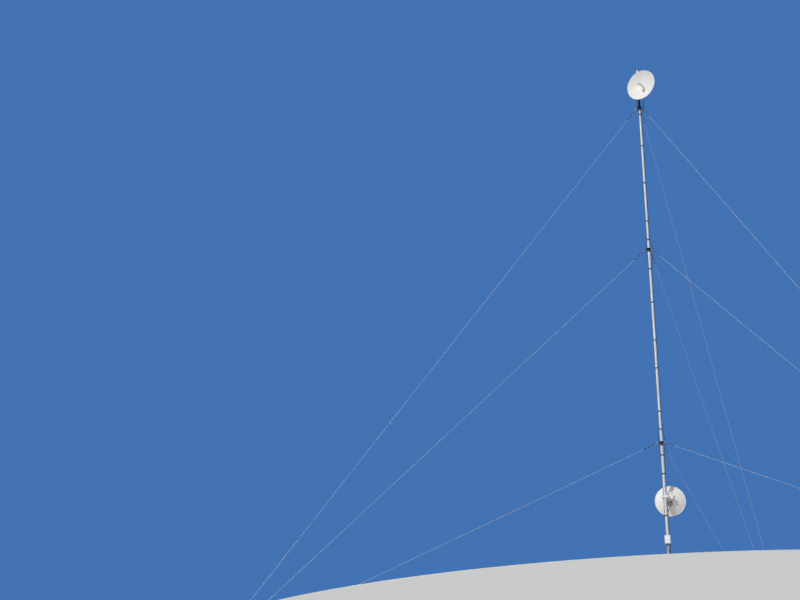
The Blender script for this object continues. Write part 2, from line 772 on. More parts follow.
def u_bolt(rod, held_r, front):
    """A U-bolt round the tube with nuts on a plate's front: X towards the plate, in the level Z = 0."""
    leg = held_r + GAP + rod / 2
    base, top = rod * 0.16, rod * 0.96
    shank = [(front + top * 0.6, leg, 0), (front / 2, leg, 0)]
    bend = [(*polar(leg, turn), 0) for turn in arc(pi / 2, 3 * pi / 2, 22)]
    form = sweep(shank + bend + [(x, -y, z) for x, y, z in reversed(shank)], rod / 2, start_way=UP)
    for side in (-leg, leg):
        stand = aim((front, side, 0), (1, 0, 0))
        form.add(lathe([(0, 0), (rod, 0), (rod, base), (0, base)], 20), stand)
        form.add(hexagon(rod, rod * 0.8), stand @ at(0, 0, base))
        form.add(thread(rod / 2, top * 0.8, top + rod, rod * 0.14), stand)
    return form


# Mast pieces
def make_tubes():
    for stage in STAGES:
        node = f"{stage}_tube"
        low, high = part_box(node)
        ease = mast.tube_wall * 0.3
        levels = (low.z, low.z + ease, high.z - ease, high.z)
        outer, inner = tube_r(stage), tube_r(stage) - mast.tube_wall
        profile = list(zip((outer - ease, outer, outer, outer - ease), levels))
        profile += zip((inner + ease, inner, inner, inner + ease), reversed(levels))
        tube = lathe(profile, ROUND_SIDES, loop=True)
        piece(f"{stage}_mast_tube", tube, "galvanised", "galvanised_steel", node)


def make_cap():
    low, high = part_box("mast_cap")
    outer = tube_r("upper")
    plug = outer - mast.tube_wall - HUB_GAP
    lip, edge = high.z - 0.005, 0.0025
    profile = [(0, low.z), (plug - 0.001, low.z), (plug, low.z + 0.001), (plug, lip), (outer, lip)]
    rounding = [polar(edge, turn) for turn in arc(0, pi / 2, 5)]
    profile += [(outer - edge + x, high.z - edge + y) for x, y in rounding]
    profile += [(outer * 0.6, high.z), (0, high.z)]
    piece("mast_end_cap", lathe(profile, ROUND_SIDES), "cap_white", "white_housing", "mast_cap")


def bead(size, share):
    """Section of a weld's bead in a corner, as distances from its two sides."""
    return (0, 0), (size, 0), (size * share, size * share), (0, size)


def make_ring_fittings():
    """Bolts of the split clamps, and welds under the guy rings with the ripples of their pool."""
    bolts, welds = Form(), Form()
    for stage, inside in zip(STAGES, ("middle", "upper", "upper")):
        ear_y = tube_r(stage) + CLAMP_WALL + EAR_REACH * 0.48
        for rise in (-CLAMP_BOLT_RISE, CLAMP_BOLT_RISE):
            place = at(0, ear_y, stage_top(stage) - CLAMP_HEIGHT / 2 + rise)
            add_bolt(bolts, CLAMP_BOLT, place, -EARS_WIDTH / 2, EARS_WIDTH / 2)
        hub_r, top = tube_r(inside) + HUB_GAP + HUB_WALL, ring_height(stage) - mast.ring_thick / 2
        rings = []
        for turn in circle(96):
            corners = bead(RING_WELD * (1 + 0.12 * sin(40 * turn)), 0.62)
            rings.append([(*polar(hub_r + away, turn), top - drop) for away, drop in corners])
        welds.add(stack(rings, loop=True))
    piece("clamp_bolts", bolts, "zinc", "zinc_hardware")
    piece("ring_welds", welds, "dark_ring", "black_paint")


# Guys
def eye_path(centre, mirror):
    """Centre line of a wire's eye and tail, from the end of the tail round to the run of the wire."""
    tail_y = guy.wire_d + TAIL_GAP - EYE_R
    slope = pi / 2 - EYE_SPREAD
    corner = EYE_R * sin(slope) + (EYE_R * cos(slope) - tail_y) / tan(slope)
    bend = Vector((corner, tail_y, 0))
    leave = (heading_way(EYE_SPREAD) * EYE_R - bend).normalized() * TAIL_BEND
    path = [Vector((guy.tail, tail_y, 0)), Vector((corner + 0.06, tail_y, 0))]
    for share in arc(0, 1, 4):
        before = bend + Vector((TAIL_BEND * (1 - share), 0, 0))
        path.append(before.lerp(bend + leave * share, share))
    path += [heading_way(turn) * EYE_R for turn in arc(EYE_SPREAD, 3 * pi / 2, 26)]
    return [(centre + mirror * point.x, point.y, 0) for point in path]


def top_eye(place):
    """Distance of a guy's upper thimble from the middle of the ring's web, on which it bears."""
    down = -place.col[0].z
    half_web = mast.ring_d / 2 - place.translation.xy.length
    back = -half_web * sqrt(1 - down**2) - mast.ring_thick / 2 * down
    return back + sqrt(back**2 + BEARING**2 - half_web**2 - (mast.ring_thick / 2) ** 2)


def thimble_form():
    """A grooved thimble that lines an eye, pointed where the wire's two sides meet."""
    base_r = EYE_R - guy.wire_d / 2
    inside = THIMBLE_BORE / 2 - base_r
    groove = [(0.0021, 1), (0.0019, 0.86), (0.0006, 0.5)]
    section = [(inside, -1), (inside, 1), *groove, (0, 0)]
    section += [(away, -side) for away, side in reversed(groove)]
    legs = (0.028, 0.022, 0.014, 0.006)
    out, along = heading_way(EYE_SPREAD), heading_way(EYE_SPREAD - pi / 2)
    path = [(out * base_r + along * reach, out) for reach in legs]
    path += [(way * base_r, way) for way in map(heading_way, arc(EYE_SPREAD, 3 * pi / 2, 24))]
    path += [(Vector((reach, -base_r, 0)), Vector((0, -1, 0))) for reach in reversed(legs)]
    widths = [0.35, 0.8] + [1.0] * (len(path) - 4) + [0.8, 0.35]
    return stack([
        [point + out * away + UP * (side * wide * THIMBLE_WIDTH / 2) for away, side in section]
        for (point, out), wide in zip(path, widths)
    ])


def clip_form():
    """A wire clip across the wire at X = 0: a U-bolt over the tail and a saddle under the wire."""
    rod, saddle, showing = 0.0045, 0.007, 0.009
    tail_y = guy.wire_d + TAIL_GAP - EYE_R
    leg = (guy.wire_d + rod) / 2
    top = 0.0012 - EYE_R - guy.wire_d / 2
    low = top - saddle
    shank = [(0, low - showing, -leg), (0, low, -leg)]
    bend = [(0, tail_y + leg * sin(turn), -leg * cos(turn)) for turn in arc(0, pi, 10)]
    form = sweep(shank + bend + [(x, y, -z) for x, y, z in reversed(shank)], rod / 2, 10)
    form.add(pad(0.015, 0.024, saddle, 0.003, 0.0012, 2, 2), at(0, top, 0) @ Matrix.Rotation(pi / 2, 4, "X"))
    for side in (-leg, leg):
        form.add(layers(polygon(0.0074, 6), [(1, 0), (1, 0.0038)]), aim((0, low, side), (0, -1, 0)))
    return form


def wire_binding(start, end):
    """Black tape wound round a wire and its tail between two clips, with the edge of each turn."""
    middle_y = (guy.wire_d + TAIL_GAP) / 2 - EYE_R
    turns = max(2, round(abs(end - start) / 0.012))
    step = (end - start) / turns
    levels = [(start, 0.0001)]
    for turn in range(turns):
        levels += [(start + step * (turn + 0.06), 0.0013), (start + step * (turn + 0.94), 0.0008)]
    rings = []
    for x, thick in [*levels, (end, 0.0001)]:
        width = guy.wire_d + 2 * thick
        outline = rounded_rect(width + guy.wire_d + TAIL_GAP, width, width * 0.49, 3)
        rings.append([(x, middle_y + y, z) for y, z in outline])
    return stack(rings)


def fork_form():
    """A fork at its pin, with its rod along X, its pin along Z, a lock nut and a split pin."""
    bridge_end = FORK_THROAT + FORK_BRIDGE
    inside = FORK_GAP / 2
    outside = inside + FORK_CHEEK
    ease = 0.0009
    form = Form()
    cheek = [polar(FORK_END_R, turn) for turn in arc(pi / 2, 3 * pi / 2, 12)]
    cheek += [(bridge_end, -FORK_END_R), (bridge_end, FORK_END_R)]
    eased = 1 - ease / FORK_END_R
    levels = [(eased, inside), (1, inside + ease), (1, outside - ease), (eased, outside)]
    for side in (-1, 1):
        form.add(layers(cheek, [(share, side * level) for share, level in levels]))
    bridge = pad(FORK_BRIDGE, 2 * FORK_END_R, FORK_GAP + 0.001, 0.001, 0.0003, 2, 1)
    form.add(bridge, at(bridge_end - FORK_BRIDGE / 2, 0, -inside - 0.0005))
    collar = [(0.0068, 0), (0.0125, 0), (0.0125, 0.0008), (0.0115, 0.0016), (0.0068, 0.0016)]
    for part, x in (
        (thread(guy.rod_d / 2, 0, ROD_SHOWING + ROD_INSIDE, 0.00175), 0),
        (hexagon(guy.rod_d * 0.86, 0.008), ROD_SHOWING - 0.0098),
        (lathe(collar, 24, loop=True), ROD_SHOWING - 0.0018),
    ):
        form.add(part, at(bridge_end + x, 0, 0) @ ALONG_X)
    pin = guy.pin_d / 2
    head, tip = -outside - 0.0025, outside + 0.0025
    form.add(lathe([
        (0, head), (pin * 1.45, head), (pin * 1.6, head + 0.0005), (pin * 1.6, -outside),
        (pin, -outside), (pin, tip - 0.0007), (pin * 0.85, tip), (0, tip),
    ], 20))
    split_z = outside + 0.0012
    eye = [(0.0022 * sin(turn), 0.0065 + 0.0022 * cos(turn)) for turn in arc(0, 2 * pi, 12)]
    for outline in (eye, *([(0, 0.0045), (0, -0.005), (x, -0.0078)] for x in (-0.003, 0.003))):
        form.add(sweep([(x, y, split_z) for x, y in outline], 0.0007, 6, UP))
    return form


def make_guys():
    """Wires with their thimbles, clips and tape, and the turnbuckles between wires and anchors."""
    thimbles, clips, tapes, bodies, forks = (Form() for _ in range(5))
    thimble, clip, fork = thimble_form(), clip_form(), fork_form()
    outer = rounded_rect(guy.body_length, guy.body_width, 0.012, 6)
    inner = rounded_rect(guy.body_length - 2 * BODY_END, BODY_SLOT, 0.006, 6)
    body = frame_pad(outer, inner, guy.body_thick, BODY_BEVEL)
    for stage, direction in product(STAGES, GUY_HEADINGS):
        place, last_pin = guy_place(stage, GUY_HEADINGS[direction])
        first_pin = last_pin - 2 * (FORK_THROAT + FORK_BRIDGE + ROD_SHOWING) - guy.body_length
        top, low = top_eye(place), first_pin - BEARING + guy.pin_d / 2
        path = eye_path(top, 1) + eye_path(low, -1)[::-1]
        wire = Form().add(sweep(path, guy.wire_d / 2, 14, UP), place)
        piece(f"{stage}_wire_{direction}", wire, "wire", "stranded_wire", f"{stage}_guy_{direction}")
        for centre, mirror in ((top, 1), (low, -1)):
            thimbles.add(thimble, place @ at(centre, 0, 0) @ Matrix.Diagonal((mirror, 1, 1, 1)))
            for reach in CLIPS:
                clips.add(clip, place @ at(centre + mirror * reach, 0, 0))
            for start, end in BOUND:
                tapes.add(wire_binding(centre + mirror * start, centre + mirror * end), place)
        bodies.add(body, place @ at((first_pin + last_pin) / 2, 0, -guy.body_thick / 2))
        forks.add(fork, place @ at(last_pin, 0, 0) @ Matrix.Rotation(pi, 4, "Z"))
        forks.add(fork, place @ at(first_pin, 0, 0))
    piece("grooved_thimbles", thimbles, "zinc", "zinc_hardware", "thimbles")
    piece("wire_clips", clips, "zinc", "zinc_hardware")
    piece("wire_end_tape", tapes, "cable_black", "black_tape")
    piece("turnbuckle_frames", bodies, "zinc", "zinc_hardware", "turnbuckle_bodies")
    piece("turnbuckle_ends", forks, "zinc", "zinc_hardware", "turnbuckle_forks")


# Ground
def make_ground_fittings():
    """Bolts through the base plate, the anchors' plates and the tube's foot, and welds along the fins."""
    bolts, welds = Form(), Form()
    stud, base = nut(GROUND_BOLT), at(0, 0, PLATE_TOP)
    plates = [facing(heading, PLATE_TOP) @ at(guy.anchor_reach, 0, 0) for heading in GUY_HEADINGS.values()]
    for place, bolt_r in [(base, BASE_BOLTS_R), *((plate, ANCHOR_BOLTS_R) for plate in plates)]:
        for turn in arc(pi / 4, 7 * pi / 4, 3):
            bolts.add(stud, place @ at(*polar(bolt_r, turn), 0))
    foot_r = tube_r("lower")
    add_bolt(bolts, FOOT_BOLT, facing(FOOT_BOLT_HEADING, FOOT_BOLT_Z), -foot_r, foot_r)
    for plate, side in product(plates, (-1, 1)):
        rings = []
        for step, x in enumerate(arc(-FIN_FOOT, FIN_FOOT, 60)):
            corners = bead(FIN_WELD * (1 + 0.1 * sin(step * 2.1)), 0.6)
            rings.append([(x, side * (FIN_HALF + away), rise) for away, rise in corners])
        welds.add(stack(rings), plate)
    piece("ground_bolts", bolts, "zinc", "zinc_hardware")
    piece("anchor_welds", welds, "galvanised", "galvanised_steel")


# Dishes
def reflector_form(diameter, focal):
    """A reflector about Z from its pivot, with a rolled rim: 0 face, 1 rim, 2 back."""
    roll = dish.rim
    rim_r = diameter / 2 - roll
    hole_r = dish.feed_tube_d / 2 + 0.0003

    def depth(radius):
        return VERTEX + (radius**2 - FLAT_R**2) / (4 * focal)

    rim_z = depth(rim_r)
    face = [(hole_r, VERTEX), (FLAT_R - 0.003, VERTEX)]
    face += [(radius, depth(radius)) for radius in arc(FLAT_R, rim_r - 0.004, 22)]
    turned = ((0, -0.2), (0.3, -0.02), (0.62, -0.12), (0.9, -0.5), (1, -1))
    tucked = ((1, 0.6), (0.7, 0), (0.2, 0), (0, 0.5))
    rim = [(rim_r + roll * away, rim_z + roll * rise) for away, rise in turned]
    rim += [(rim_r + roll * away, rim_z - RIM_DEPTH + roll * rise) for away, rise in tucked]
    rim.append((rim_r, rim_z - SKIN * 1.6))
    back = [(radius, height - SKIN) for radius, height in reversed(face)]
    sides = 180
    form = lathe(face + rim + back, sides, loop=True)
    rows = [0] * (len(face) - 1) + [1] * (len(rim) + 1) + [2] * len(back)
    form.marks = [mark for mark in rows for _ in range(sides)]
    return form


def feed_form(focal):
    """A feed about Z from its dish's pivot: tube with collar and band, grooved cup and front."""
    tube, cup, front = dish.feed_tube_d / 2, dish.feed_cup_d / 2, FEED_FRONT_D / 2
    start = VERTEX - FLAT_R**2 / (4 * focal) + focal - FEED_CUP
    collar = [(tube, 0.001), (tube + 0.004, 0.001), (tube + 0.004, 0.006), (tube, 0.007)]
    outer = [(tube, -0.034), (tube * 1.1, -0.03), (tube * 1.1, -0.024), (tube, -0.02), (tube + 0.001, -0.006)]
    outer += [(cup * 0.8, 0), (cup - 0.001, 0.0015), (cup, 0.0035)]
    for low in (0.0065, 0.0115):
        outer += [(cup, low), (cup - 0.0015, low + 0.0008), (cup - 0.0015, low + 0.0018), (cup, low + 0.0026)]
    outer += [(cup, 0.016), (cup - 0.001, 0.0175), (front + 0.0015, FEED_CUP - 0.0015)]
    outer += [(front, FEED_CUP - 0.0005), (front - 0.002, FEED_CUP), (0, FEED_CUP)]
    profile = [(0, BACK), (tube, BACK)] + [(radius, VERTEX + height) for radius, height in collar]
    return lathe(profile + [(radius, start + height) for radius, height in outer], 48)


def add_dish_bolts(form, level, aimed, held_r):
    """Bolts of a dish's hub, its pivot and its clamp halves."""
    for turn in circle(6):
        spot = polar(HUB_BOLTS_R, turn)
        form.add(bolt_head(HUB_BOLT), aimed @ aim((VERTEX, *spot), (1, 0, 0)))
        form.add(nut(HUB_BOLT), aimed @ aim((BACK, *spot), (-1, 0, 0)))
    for hand in (-1, 1):
        form.add(bolt_head(PIVOT_BOLT), aimed @ aim((0, hand * CHEEK_OUT, 0), (0, hand, 0)))
        for rise in (-CLAMP_RISE, CLAMP_RISE):
            place = level @ at(0, hand * (held_r + GAP + CLAMP_ROD / 2), SADDLE_RISE + rise)
            add_bolt(form, CLAMP_ROD, place, -held_r - CLAMP_DEPTH, held_r + GAP + SADDLE)


def clamp_half(held_r):
    """A folded clamp half on the tube's far side, with X towards the dish and its middle at Z = 0."""
    web, front = -held_r - CLAMP_DEPTH, -0.01
    notch_r = held_r + GAP
    mouth = sqrt(notch_r**2 - front**2)
    first = atan2(mouth, front)
    side = [(web, dish.clamp_width / 2), (web + 0.016, dish.clamp_width / 2), (front, mouth + 0.012)]
    notch = [polar(notch_r, turn) for turn in arc(first, 2 * pi - first, 24)]
    jaw = side + notch + [(x, -y) for x, y in reversed(side)]
    sheet = pad(dish.clamp_height, dish.clamp_width, CLAMP_SHEET, 0.004, 0.0008)
    form = Form().add(sheet, at(web, 0, 0) @ ALONG_X)
    for low in (-dish.clamp_height / 2, dish.clamp_height / 2 - CLAMP_SHEET):
        form.add(layers(jaw, [(1, low), (1, low + CLAMP_SHEET)]))
    return form


def radio_form():
    """A radio unit that stands on Z = 0, with ribs, a seam and two ports below."""
    deep, wide, tall = dish.radio_depth, dish.radio_width, dish.radio_height
    fin = 0.004
    form = Form().add(pad(deep - fin, wide, tall, 0.008, 0.003, 5), at(fin / 2, 0, 0))
    rib = pad(fin + 0.002, 0.0026, tall * 0.8, 0.0008, 0.001, 1, 2)
    for step in range(-3, 4):
        form.add(rib, at((fin - deep) / 2 + 0.001, wide * step / 8, tall * 0.1))
    outer, inner = rounded_rect(0.0022, wide + 0.0012, 0.001), rounded_rect(0.0008, wide - 0.004, 0.0003)
    form.add(frame_pad(outer, inner, tall * 0.96, 0.0003), at(fin / 2 + 0.004, 0, tall * 0.02))
    port = lathe([(0, 0), (0.0072, 0), (0.0072, -0.006), (0.0058, -0.0075), (0.0058, -0.013), (0, -0.013)])
    for x in (RADIO_PORT, JUMPER_PORT):
        form.add(port, at(x, 0, 0.0005), mark=1)
    return form


def make_dishes():
    """Reflectors, feeds, radio units, and the clamps and bolts that hold them."""
    reflectors, feeds, bolts, clamps, radios = (Form() for _ in range(5))
    block = pad(FEED_BLOCK, FEED_BLOCK, FEED_BLOCK_DEPTH, 0.004, 0.0015)
    radio = radio_form()
    for diameter, level, aimed, held_r, _ in dish_places():
        focal = dish.focal_ratio * diameter
        reflectors.add(reflector_form(diameter, focal), aimed @ ALONG_X)
        feeds.add(feed_form(focal), aimed @ ALONG_X)
        feeds.add(block, aimed @ at(BACK - FEED_BLOCK_DEPTH, 0, 0) @ ALONG_X)
        add_dish_bolts(bolts, level, aimed, held_r)
        clamps.add(clamp_half(held_r), level @ at(0, 0, SADDLE_RISE))
        radios.add(radio, aimed @ at(radio_middle(), 0, radio_underside()))
    piece("reflectors", reflectors, "dish_white", "dish_paint dish_rim_paint dish_paint", "dish_reflectors")
    piece("feeds", feeds, "feed_grey", "feed_cover", "dish_feeds")
    piece("dish_bolts", bolts, "zinc", "zinc_hardware")
    piece("pole_clamps", clamps, "white_bracket", "white_bracket_paint", "dish_ubolts")
    piece("radio_units", radios, "radio_white", "white_housing gland_nylon", "dish_radios")


# Equipment box
def gland_form(wide, height, cable_d):
    """A cable gland on Z = 0: hexagon foot, ribbed dome nut and a soft collar round the cable."""
    bore_r = cable_d / 2 + GAP
    foot = height * 0.28
    form = layers(polygon(wide, 6), [(0.96, 0), (1, foot * 0.1), (1, foot * 0.9), (0.95, foot)])
    dome = []
    for level, share in ((0.28, 0.8), (0.3, 0.86), (0.62, 0.84), (0.8, 0.74), (0.93, 0.58), (0.96, 0.5)):
        ring = []
        for side, turn in enumerate(circle(48)):
            rib = 1.0 if side % 2 or level > 0.7 else 0.94
            ring.append((*polar(max(wide / 2 * share * rib, bore_r + 0.0006), turn), height * level))
        dome.append(ring)
    form.add(stack(dome))
    collar = ((0, 0.9), (0.0009, 0.9), (0.0008, 0.99), (0, 1))
    return form.add(lathe([(bore_r + wall, height * level) for wall, level in collar], 24, loop=True))


def box_places():
    """Level place of the box, its back's distance from the axis and its lid's joint from its back."""
    back = tube_r("lower") + GAP + BOX_PLATE
    return facing(cable.box_heading, cable.box_z), back, cable.box_depth - cable.box_lid


def make_box():
    level, back, joint = box_places()
    tall, wide = cable.box_height, cable.box_width
    upright = level @ at(back, 0, 0) @ ALONG_X
    form = Form().add(pad(tall - 2 * BOX_LIP, wide - 2 * BOX_LIP, joint - 0.0012, 0.006, 0.0012), upright)
    seal = pad(tall - 4 * BOX_LIP, wide - 4 * BOX_LIP, 0.003, 0.005, 0.0004)
    form.add(seal, upright @ at(0, 0, joint - 0.002), mark=1)
    form.add(pad(tall, wide, cable.box_lid, 0.007, 0.0028, 5), upright @ at(0, 0, joint))
    screw = lathe([(0, 0), (0.0042, 0), (0.0042, 0.0008), (0.0034, 0.0012), (0, 0.0012)])
    high, far = tall / 2 - SCREW_INSET, wide / 2 - SCREW_INSET
    for x, y in product((-high, high), (-far, far)):
        form.add(screw, upright @ at(x, y, cable.box_depth - 0.0012), mark=2)
    gland = gland_form(BOX_GLAND_D, BOX_GLAND_HEIGHT, cable.lead_d)
    for side in BOX_PORTS:
        port = level @ at(back + joint / 2, side, BOX_LIP - tall / 2) @ Matrix.Rotation(pi, 4, "X")
        form.add(gland, port, mark=1)
    piece("white_box", form, "box_white", "white_housing gland_nylon zinc_hardware", "equipment_box")
    bolts = Form()
    for rise in (-BOX_RISE, BOX_RISE):
        bolts.add(u_bolt(BOX_ROD, tube_r("lower"), back), level @ at(0, 0, rise))
    piece("box_bolts", bolts, "zinc", "zinc_hardware", "box_ubolts")


# Cables
def strapped():
    """Heading, width and top of each cable that runs down the mast."""
    return [
        (FEEDER_HEADING, cable.feeder_d, CABLE_TOPS["mast"]),
        (SECOND_HEADING, cable.feeder_d, CABLE_TOPS["second"]),
        (EARTH_HEADING, cable.earth_d, CABLE_TOPS["mast"]),
        *((heading, cable.lead_d, CABLE_TOPS["lead"]) for heading in LEAD_HEADINGS),
    ]


def cable_reach(height, width):
    """Distance of a strapped cable's centre from the mast's axis."""
    return tube_r_at(height) + GAP + width / 2


def cable_points(heading, levels):
    """Points on one side of the mast, at pairs of reach and height."""
    return [(*polar(reach, heading), height) for reach, height in levels]


def bump_points(heading, width, middle, half, reach, above, below):
    """Points that carry a cable out over something on the mast and back, tied above and below."""
    tie = 6 * width
    stand = reach + 0.001 + width / 2
    top, low = middle + above, middle - below
    over, under = cable_reach(top, width), cable_reach(low, width)
    return cable_points(heading, [
        (over, top + tie), (over, top), (stand, middle + half),
        (stand, middle - half), (under, low), (under, low - tie),
    ])


def ring_points(stage, heading, width):
    return bump_points(heading, width, ring_height(stage), RING_BULGE, mast.ring_d / 2, *RING_LEADS[stage])


def ubolt_points(heading, width, clamp_way, centre, rise, rod):
    """Points over a pair of U-bolts, on their bent side or beside their legs."""
    turn = abs((heading - clamp_way + pi) % (2 * pi) - pi)
    reach = (tube_r_at(centre) + GAP + rod) / UBOLT_FLATS
    if turn < pi / 2:
        reach /= sin(turn)
    half = rise + rod
    return bump_points(heading, width, centre, half, reach, half + UBOLT_LEAD, half + UBOLT_LEAD)


def box_points(heading, width):
    return ubolt_points(heading, width, cable.box_heading, cable.box_z, BOX_RISE, BOX_ROD)


def mast_points(heading, width):
    """Points down the whole mast from the bulge at the upper ring."""
    points = ring_points("upper", heading, width)[2:]
    points += ring_points("middle", heading, width) + ring_points("lower", heading, width)
    centre = dish.lower_z + SADDLE_RISE
    points += ubolt_points(heading, width, dish.lower_heading, centre, CLAMP_RISE, CLAMP_ROD)
    return points + box_points(heading, width)


def settle_points(heading, width, top, run):
    """Two points on the tube where a cable comes to lie along it."""
    reach = cable_reach(top, width)
    return cable_points(heading, [(reach, top), (reach, top - run)])


def drops(place, x, y, z, *falls):
    """Points straight below a port."""
    return [place @ Vector((x, y, z - fall)) for fall in (0, *falls)]


def route(name, node, heading, width, points):
    """A cable along its points and on down to its gland on the base plate."""
    near = cable_reach(0, width)
    heights = (*FOOT_LEVELS, PLATE_TOP + cable.gland_height - 0.016)
    foot = cable_points(heading, zip((near, near, FOOT_REACH, FOOT_REACH, FOOT_REACH), heights))
    piece(name, sweep(smooth_path(points + foot), width / 2), "cable_black", "cable_jacket", node)


def make_cables():
    (_, level, upper, held_r, _), (_, _, lower, _, _) = dish_places()
    port_x, under = radio_middle() + RADIO_PORT, radio_underside()
    width = cable.feeder_d
    points = drops(upper, port_x, 0, under, 0.025, 0.045) + mast_points(FEEDER_HEADING, width)
    route("upper_feeder_cable", "upper_feeder", FEEDER_HEADING, width, points)
    points = drops(lower, port_x, 0, under, 0.03, 0.055)
    points += settle_points(SECOND_HEADING, width, dish.lower_z - 0.301, 0.072)
    points += box_points(SECOND_HEADING, width)
    route("lower_feeder_cable", "lower_feeder", SECOND_HEADING, width, points)
    points = drops(level, held_r + GAP + SADDLE / 2, EARTH_SIDE, 0, 0.02, 0.04)
    points += mast_points(EARTH_HEADING, cable.earth_d)
    route("earth_wire", "earth_cable", EARTH_HEADING, cable.earth_d, points)
    level, back, joint = box_places()
    for number, (heading, side) in enumerate(zip(LEAD_HEADINGS, BOX_PORTS), 1):
        points = drops(level, back + joint / 2, side, BOX_LIP - cable.box_height / 2, 0.03, 0.05)
        points += settle_points(heading, cable.lead_d, cable.box_z - 0.32, 0.06)
        route(f"box_cable_{number}", f"box_lead_{number}", heading, cable.lead_d, points)


def jumper_forms(mast_side):
    """The coiled cable between a radio unit and its feed, and the ties on its coil."""
    start_x, end_x = radio_middle() + JUMPER_PORT, BACK - FEED_BLOCK_DEPTH / 2
    under, port_z = radio_underside(), -FEED_BLOCK / 2
    middle = Vector((0, mast_side * 0.016, under - 0.052))
    coil_r, turns, steps = 0.042, 2.75, 44

    def coil_way(turn):
        return Vector((0, -mast_side * cos(turn), sin(turn)))

    points = [(start_x, 0, under), (start_x, 0, under - 0.014)]
    for x, turn in zip(arc(start_x, end_x, steps), arc(0, -2 * pi * turns, steps)):
        points.append(middle + Vector((x, 0, 0)) + coil_way(turn) * coil_r)
    points += [(end_x, 0, port_z - 0.012), (end_x, 0, port_z)]
    line = sweep(smooth_path(points), cable.jumper_d / 2, 12)
    ties = Form()
    wrap = cable.jumper_d / 2 + 0.0012
    middle_x = (start_x + end_x) / 2
    outline = rounded_rect(end_x - start_x + 2 * wrap, 2 * wrap, wrap * 0.9)
    for turn in (radians(200), radians(335)):
        out, way = coil_way(turn), coil_way(turn + pi / 2)
        centre = middle + out * coil_r + Vector((middle_x, 0, 0))
        rings = []
        for lift, level in ((0, -0.0022), (0.0011, -0.0022), (0.0011, 0.0022), (0, 0.0022)):
            wide, deep, along = 1 + lift / middle_x, 1 + lift / wrap, centre + way * level
            rings.append([along + Vector((x * wide, 0, 0)) + out * y * deep for x, y in outline])
        ties.add(stack(rings, loop=True))
        ties.add(pad(0.006, 0.005, 0.005, 0.001, 0.0006, 2, 2), aim(centre + out * wrap, out))
    return line, ties


def make_jumpers():
    jumpers, ties = Form(), Form()
    for _, _, aimed, _, side in dish_places():
        line, loops = jumper_forms(-side)
        jumpers.add(line, aimed)
        ties.add(loops, aimed)
    piece("jumper_cables", jumpers, "cable_black", "cable_jacket", "dish_jumpers")
    piece("jumper_ties", ties, "cable_black", "gland_nylon")


def make_earth_lug():
    """The crimped lug that bolts the earth cable to the upper dish's saddle plate."""
    _, level, _, held_r, _ = next(dish_places())
    plate = held_r + GAP
    bore, barrel = cable.earth_d / 2, cable.earth_d / 2 + 0.0014
    crimp = barrel - 0.0006
    profile = [(bore, -0.022), (barrel, -0.022), (barrel, -0.016), (crimp, -0.013)]
    profile += [(crimp, -0.009), (barrel, -0.006), (barrel, -0.0004), (bore, -0.0004)]
    form = Form().add(lathe(profile, 24, loop=True), level @ at(plate + SADDLE / 2, EARTH_SIDE, 0))
    form.add(pad(0.034, 0.013, LUG, 0.006, 0.0004), level @ at(plate - LUG, EARTH_SIDE, 0.008) @ ALONG_X)
    form.add(bolt_head(LUG_BOLT), level @ aim((plate - LUG, EARTH_SIDE, 0.016), (-1, 0, 0)))
    piece("earth_lug", form, "zinc", "zinc_hardware")


def make_tapes():
    """Bands round tube and cables, and the tape wound over the tube above the upper ring."""
    form = Form()
    thick, half = cable.tape_thick, cable.tape_width / 2
    section = [
        (0.2, -1), (0.75, -0.96), (0.92, -0.7), (0.86, -0.1), (1, 0),
        (0.94, 0.6), (0.72, 0.96), (0.2, 1), (0.1, 0.4), (0.1, -0.4),
    ]
    for height in TAPE_HEIGHTS:
        held = [(Vector((0, 0, 0)), tube_r_at(height))]
        for heading, width, top in strapped():
            if height < top:
                held.append((heading_way(heading) * cable_reach(height, width), width / 2))
        touched = []
        for way in map(heading_way, circle(72)):
            centre, radius = max(held, key=lambda thing: thing[0].dot(way) + thing[1])
            touched.append((centre + way * (radius + TAPE_GAP), way))
        form.add(stack([
            [point + way * thick * share + UP * (height + half * level) for point, way in touched]
            for share, level in section
        ], loop=True))
    low, high = SLEEVE
    bare = tube_r_at(high) + TAPE_GAP
    turns = round((high - low) / cable.tape_width * 1.3)
    step = (high - low) / turns
    profile = [(bare, low)]
    for turn in range(turns):
        start = low + step * turn
        profile += [(bare + thick, start + step * 0.05), (bare + thick / 2, start + step * 0.95)]
    form.add(lathe([*profile, (bare, high)], ROUND_SIDES, loop=True))
    piece("tape_bands", form, "cable_black", "black_tape")


def make_glands():
    form = Form()
    for heading, width, _ in strapped():
        gland = gland_form(cable.gland_d, cable.gland_height, width)
        form.add(gland, at(*polar(FOOT_REACH, heading), PLATE_TOP))
    piece("dome_glands", form, "gland_black", "gland_nylon", "cable_glands")


def dress_nodes():
    """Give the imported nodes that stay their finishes."""
    for finish, names in KEPT_NODES.items():
        for name in names:
            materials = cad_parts[name].data.materials
            materials.clear()
            materials.append(finish_of(finish))


# Stage
def make_floor():
    profile = [(0, FLOOR_TOP), (FLOOR_R, FLOOR_TOP), (FLOOR_R, FLOOR_LOW), (0, FLOOR_LOW)]
    floor = skin("floor", lathe(profile, 128))
    above, under = Finish("floor_top"), Finish("floor_underside")
    above.feed({"Base Color": above.shaded("floor", 0.97, above.noise(3.0)), "Roughness": 0.9})
    seen = under.node("ShaderNodeLightPath", output="Is Camera Ray")
    glow = under.mix(seen, (0, 0, 0, 1), tint("floor", 0.5))
    under.feed({
        "Base Color": tint("floor"), "Roughness": 0.9, "Emission Color": glow, "Emission Strength": 1.0,
    })
    for finish in (above, under):
        floor.data.materials.append(finish.material)
    for face in floor.data.polygons:
        face.material_index = 1 if face.normal.z < -0.5 else 0


